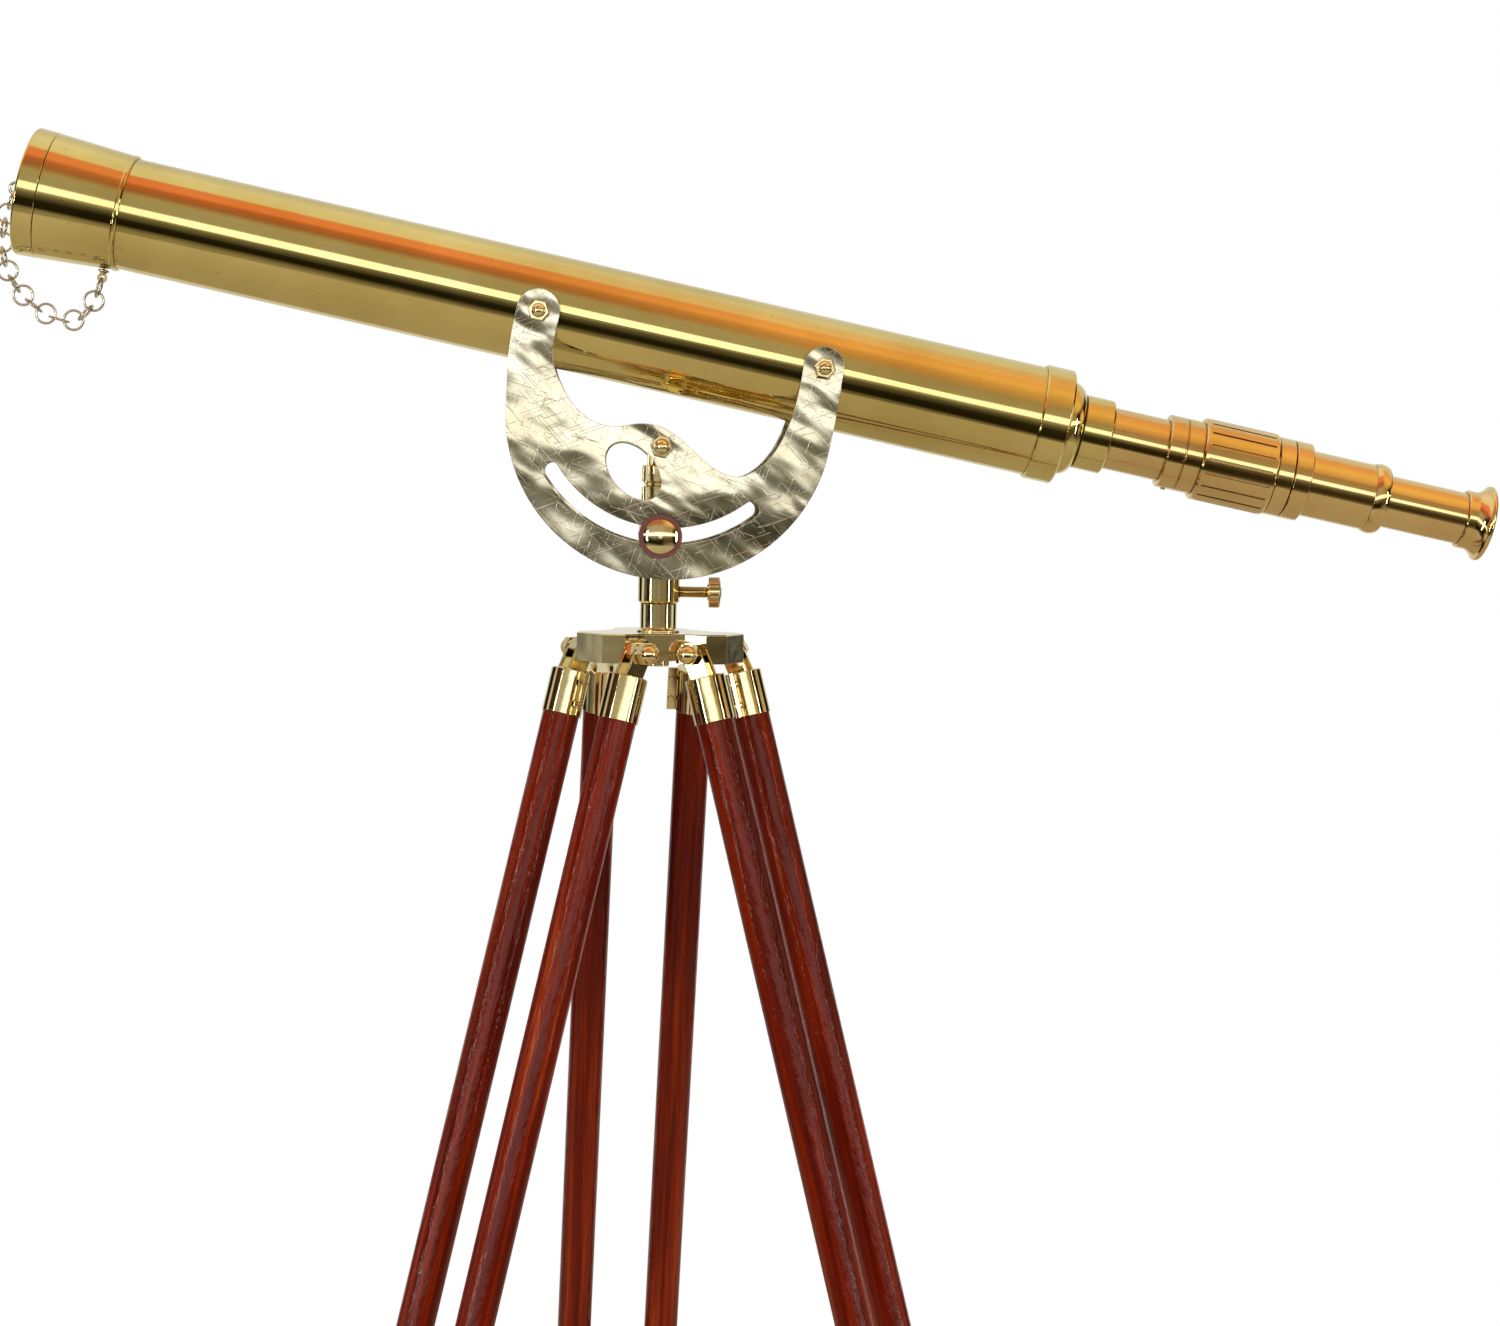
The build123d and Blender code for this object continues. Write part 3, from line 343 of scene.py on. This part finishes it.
def brass(name, light, dark, rough=(0.03, 0.11), lines=(6, 260, 260), turn=ELEVATION,
          edge=0.0004, wave=0.00012):
    """Polished brass: faint tarnish clouds, smears, fine turning or polishing lines, pin-prick spots, and
    painted shade in corners and joints.
    """
    material, g, shader, where = start_material(name)
    along = g.mapping(where, turn=(0, -turn, 0))
    clouds = g.spread(g.noise(along, scale=9.0, detail=4.0, rough=0.6), low=0.38, high=0.68)
    streaks = g.noise(g.mapping(along, (6, 30, 30)), scale=4.0, detail=5.0, rough=0.65, twist=0.6)
    smears = g.spread(streaks, low=0.42, high=0.72)
    fine = g.noise(g.mapping(along, lines), scale=6.0, detail=3.0, rough=0.6)
    spots = g.spread(g.noise(along, scale=420.0, detail=2.0, rough=0.5), low=0.70, high=0.76)
    spot_colour = tuple(0.45 * part for part in dark)
    colour = g.mix(g.math("MULTIPLY", clouds, 0.7), light, dark)
    colour = g.mix(g.math("MULTIPLY", spots, 0.55), colour, spot_colour)
    # painted shade: the colour is darkened in corners and joints
    colour = painted_corner_shade(g, colour, reach=0.003, shade_tint=(0.10, 0.055, 0.02))
    g.join(colour, shader.inputs["Base Color"])
    worn = g.math("ADD", g.math("MULTIPLY", smears, 0.7), g.math("MULTIPLY", fine, 0.3))
    least, most = rough
    g.join(g.spread(worn, low=0.0, high=1.0, to_low=least, to_high=most), shader.inputs["Roughness"])
    shader.inputs["Metallic"].default_value = 1.0
    dents = g.noise(g.mapping(along, (2, 9, 9)), scale=3.0, detail=2.0)
    normal = g.bump(dents, distance=wave, normal=rounded(g, edge))
    g.join(g.bump(fine, distance=0.000012, normal=normal), shader.inputs["Normal"])
    return material


SCRATCH_RUNS = ((0.35, 0.655), (1.25, 0.665), (2.30, 0.650), (2.85, 0.67))  # angle, noise level
SCRATCH_STRETCH = (26, 26, 900)
GRAIN_ANGLE = 0.9


def scratches(g, where):
    """Four runs of straight scratches that cross each other on the plate's face."""
    marks = None
    for angle, start in SCRATCH_RUNS:
        lane = g.mapping(g.mapping(where, turn=(0, angle, 0)), SCRATCH_STRETCH)
        line = g.spread(g.noise(lane, scale=1.0, detail=1.0, rough=0.5), low=start, high=start + 0.03)
        marks = line if marks is None else g.math("MAXIMUM", marks, line)
    return marks


def plate_brass(name):
    """Pale plate brass, hand polished: broad hollows, crossing scratches, speckles, and painted shade in the
    corners.
    """
    material, g, shader, where = start_material(name)
    marks = scratches(g, where)
    grained = g.mapping(where, turn=(0, GRAIN_ANGLE, 0))
    fine = g.noise(g.mapping(grained, (60, 60, 2400)), scale=1.0, detail=3.0, rough=0.7)
    clouds = g.spread(g.noise(where, scale=30.0, detail=4.0, rough=0.6), low=0.40, high=0.66)
    spots = g.spread(g.noise(where, scale=520.0, detail=2.0, rough=0.5), low=0.68, high=0.74)
    colour = g.mix(clouds, (0.62, 0.59, 0.47), (0.48, 0.44, 0.31))
    colour = g.mix(g.math("MULTIPLY", spots, 0.6), colour, (0.16, 0.12, 0.06))
    colour = g.mix(g.math("MULTIPLY", marks, 0.5), colour, (0.92, 0.90, 0.80))
    # painted shade: the colour is darkened in corners and along edges
    colour = painted_corner_shade(g, colour, reach=0.002, shade_tint=(0.12, 0.08, 0.04))
    g.join(colour, shader.inputs["Base Color"])
    worn = g.math("MAXIMUM", g.math("MULTIPLY", marks, 0.9), g.math("MULTIPLY", fine, 0.55))
    g.join(g.spread(worn, low=0.0, high=1.0, to_low=0.05, to_high=0.20), shader.inputs["Roughness"])
    shader.inputs["Metallic"].default_value = 1.0
    hollows = g.noise(g.mapping(grained, (1.0, 1.0, 0.5)), scale=12.0, detail=3.0, rough=0.5, twist=0.3)
    normal = g.bump(hollows, distance=0.0080, normal=rounded(g, 0.0007))
    normal = g.bump(g.math("MULTIPLY", marks, -1.0), distance=0.00008, normal=normal)
    g.join(g.bump(fine, distance=0.00001, normal=normal), shader.inputs["Normal"])
    return material


WOOD_TONES = (
    (0.0, (0.075, 0.003, 0.001)),
    (0.45, (0.170, 0.009, 0.001)),
    (0.80, (0.300, 0.026, 0.002)),
    (1.0, (0.430, 0.060, 0.005)),
)
PORE_COLOUR = (0.035, 0.005, 0.003)
VARNISH = {
    "Specular IOR Level": 0.08,
    "Coat Weight": 0.30,
    "Coat Roughness": 0.07,
    "Coat IOR": 1.5,
    "Specular Tint": (1.0, 0.75, 0.60, 1.0),
}


def mahogany(name, azimuth):
    """Red-brown varnished wood with grain along the leg, open pores and a slightly rippled gloss coat."""
    material, g, shader, where = start_material(name)
    faced = g.mapping(where, turn=(0, 0, -math.radians(azimuth)))
    along = g.mapping(faced, turn=(0, LEG_TILT, 0))
    bent = g.noise(g.mapping(along, (9, 9, 1.4)), scale=1.0, detail=2.0)
    bands = g.noise(g.mapping(along, (170, 170, 5)), scale=1.0, detail=4.0, rough=0.6, twist=0.5)
    figure = g.math("ADD", g.math("MULTIPLY", bands, 0.75), g.math("MULTIPLY", bent, 0.25))
    tone = g.spread(figure, low=0.33, high=0.66)
    pores = g.spread(g.noise(g.mapping(along, (1500, 1500, 42)), scale=1.0, detail=2.0), low=0.60, high=0.70)
    colour = g.mix(g.math("MULTIPLY", pores, 0.6), g.ramp(tone, WOOD_TONES), PORE_COLOUR)
    g.join(colour, shader.inputs["Base Color"])
    g.join(g.spread(pores, low=0.0, high=1.0, to_low=0.30, to_high=0.50), shader.inputs["Roughness"])
    for socket, value in VARNISH.items():
        shader.inputs[socket].default_value = value
    ripple = g.noise(g.mapping(along, (230, 230, 60)), scale=1.0, detail=3.0, rough=0.6)
    skin = g.bump(ripple, distance=0.0007)
    g.join(skin, shader.inputs["Coat Normal"])
    g.join(g.bump(pores, distance=-0.00004, normal=skin), shader.inputs["Normal"])
    return material


def fibre(name):
    """Dull red fibre with flecks."""
    material, g, shader, where = start_material(name)
    flecks = g.noise(where, scale=900.0, detail=4.0, rough=0.7)
    g.join(g.mix(flecks, (0.17, 0.060, 0.055), (0.30, 0.12, 0.10)), shader.inputs["Base Color"])
    g.join(g.spread(flecks, low=0.3, high=0.7, to_low=0.55, to_high=0.80), shader.inputs["Roughness"])
    g.join(g.bump(flecks, distance=0.00006, normal=rounded(g, 0.0003)), shader.inputs["Normal"])
    return material


def blackened(name):
    """Matt black lacquer."""
    material, g, shader, where = start_material(name)
    grain = g.noise(where, scale=700.0, detail=3.0, rough=0.6)
    g.join(g.mix(grain, (0.012, 0.011, 0.010), (0.030, 0.027, 0.024)), shader.inputs["Base Color"])
    g.join(g.spread(grain, low=0.3, high=0.7, to_low=0.45, to_high=0.70), shader.inputs["Roughness"])
    g.join(g.bump(grain, distance=0.00003), shader.inputs["Normal"])
    return material


def glass(name):
    """Clear optical glass with a little dust."""
    material, g, shader, where = start_material(name)
    dust = g.spread(g.noise(where, scale=800.0, detail=3.0, rough=0.6), low=0.62, high=0.72)
    g.join(g.mix(dust, (0.96, 0.98, 0.97), (0.90, 0.91, 0.90)), shader.inputs["Base Color"])
    g.join(g.spread(dust, low=0.0, high=1.0, to_low=0.0, to_high=0.06), shader.inputs["Roughness"])
    shader.inputs["Transmission Weight"].default_value = 1.0
    shader.inputs["IOR"].default_value = 1.52
    return material


def dress(material, *names):
    """Give every material slot of the named CAD nodes this material."""
    for name in names:
        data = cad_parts[name].data
        if not data.materials:
            data.materials.append(material)
        for index in range(len(data.materials)):
            data.materials[index] = material


def dress_everything():
    gold = brass("brass_barrel", (0.82, 0.67, 0.27), (0.62, 0.47, 0.15), lines=(500, 5, 5))
    rosy = brass("brass_eyepiece", (0.86, 0.64, 0.29), (0.72, 0.48, 0.20),
                 lines=(700, 5, 5), rough=(0.03, 0.12))
    pale = brass("brass_head", (0.88, 0.76, 0.44), (0.76, 0.60, 0.28),
                 turn=0.0, rough=(0.04, 0.14), wave=0.0003)
    dull = brass("brass_hidden", (0.55, 0.43, 0.20), (0.45, 0.33, 0.14), rough=(0.22, 0.40))
    wire = brass("brass_wire", (0.72, 0.69, 0.58), (0.46, 0.42, 0.32), rough=(0.08, 0.22), edge=0.0002)
    dress(gold, "barrel_tube", "objective_cell", "rear_end_ring", "draw_collar", "lens_cap")
    dress(rosy, "draw_tube", "grip_front_ring", "fluted_grip", "grip_rear_ring", "sleeve_lock_ring",
          "eyepiece_sleeve", "sleeve_bead", "eyepiece_draw_tube", "eyecup")
    dress(wire, "cap_eye", "cap_chain")
    dress(dull, "objective_retaining_ring", "erector_cell", "post_nut", "chain_stud", "grip_set_screw")
    dress(plate_brass("brass_plate"), "front_side_plate", "rear_side_plate")
    dress(pale, "horn_studs", "acorn_nuts", "pivot_bolt", "yoke_post", "plate_spacers", "clamp_bolt",
          "clamp_knob", "thumb_screw", "tripod_head", "tripod_post", "leg_pivot_bolts", "leg_pivot_spacers")
    dress(fibre("red_fibre"), "fibre_washers")
    dress(blackened("black_lacquer"), "barrel_baffles")
    dress(glass("optical_glass"), "flint_lens", "crown_lens", "erector_lenses", "eye_lens", "field_lens")
    for number, azimuth in enumerate(LEG_AZIMUTHS, 1):
        leg = f"leg_{number}_"
        dress(pale, leg + "ferrules", leg + "lower_bracket", leg + "foot", leg + "clamp_screw")
        dress(mahogany(f"mahogany_{number}", azimuth), leg + "upper_rods", leg + "lower_rod")


# ---------------------------------------------------------------- pieces


def add_chain():
    """A copy of the chain's rings, shown in place of the CAD chain, which is hidden."""
    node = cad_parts["cap_chain"]
    chain = bpy.data.objects.new("chain_links", node.data.copy())
    link(chain)
    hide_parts("cap_chain")
    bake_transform(chain)


add_camera()
add_world()
add_floor()
for lamp in LAMPS:
    add_lamp(*lamp)
dress_everything()
add_chain()
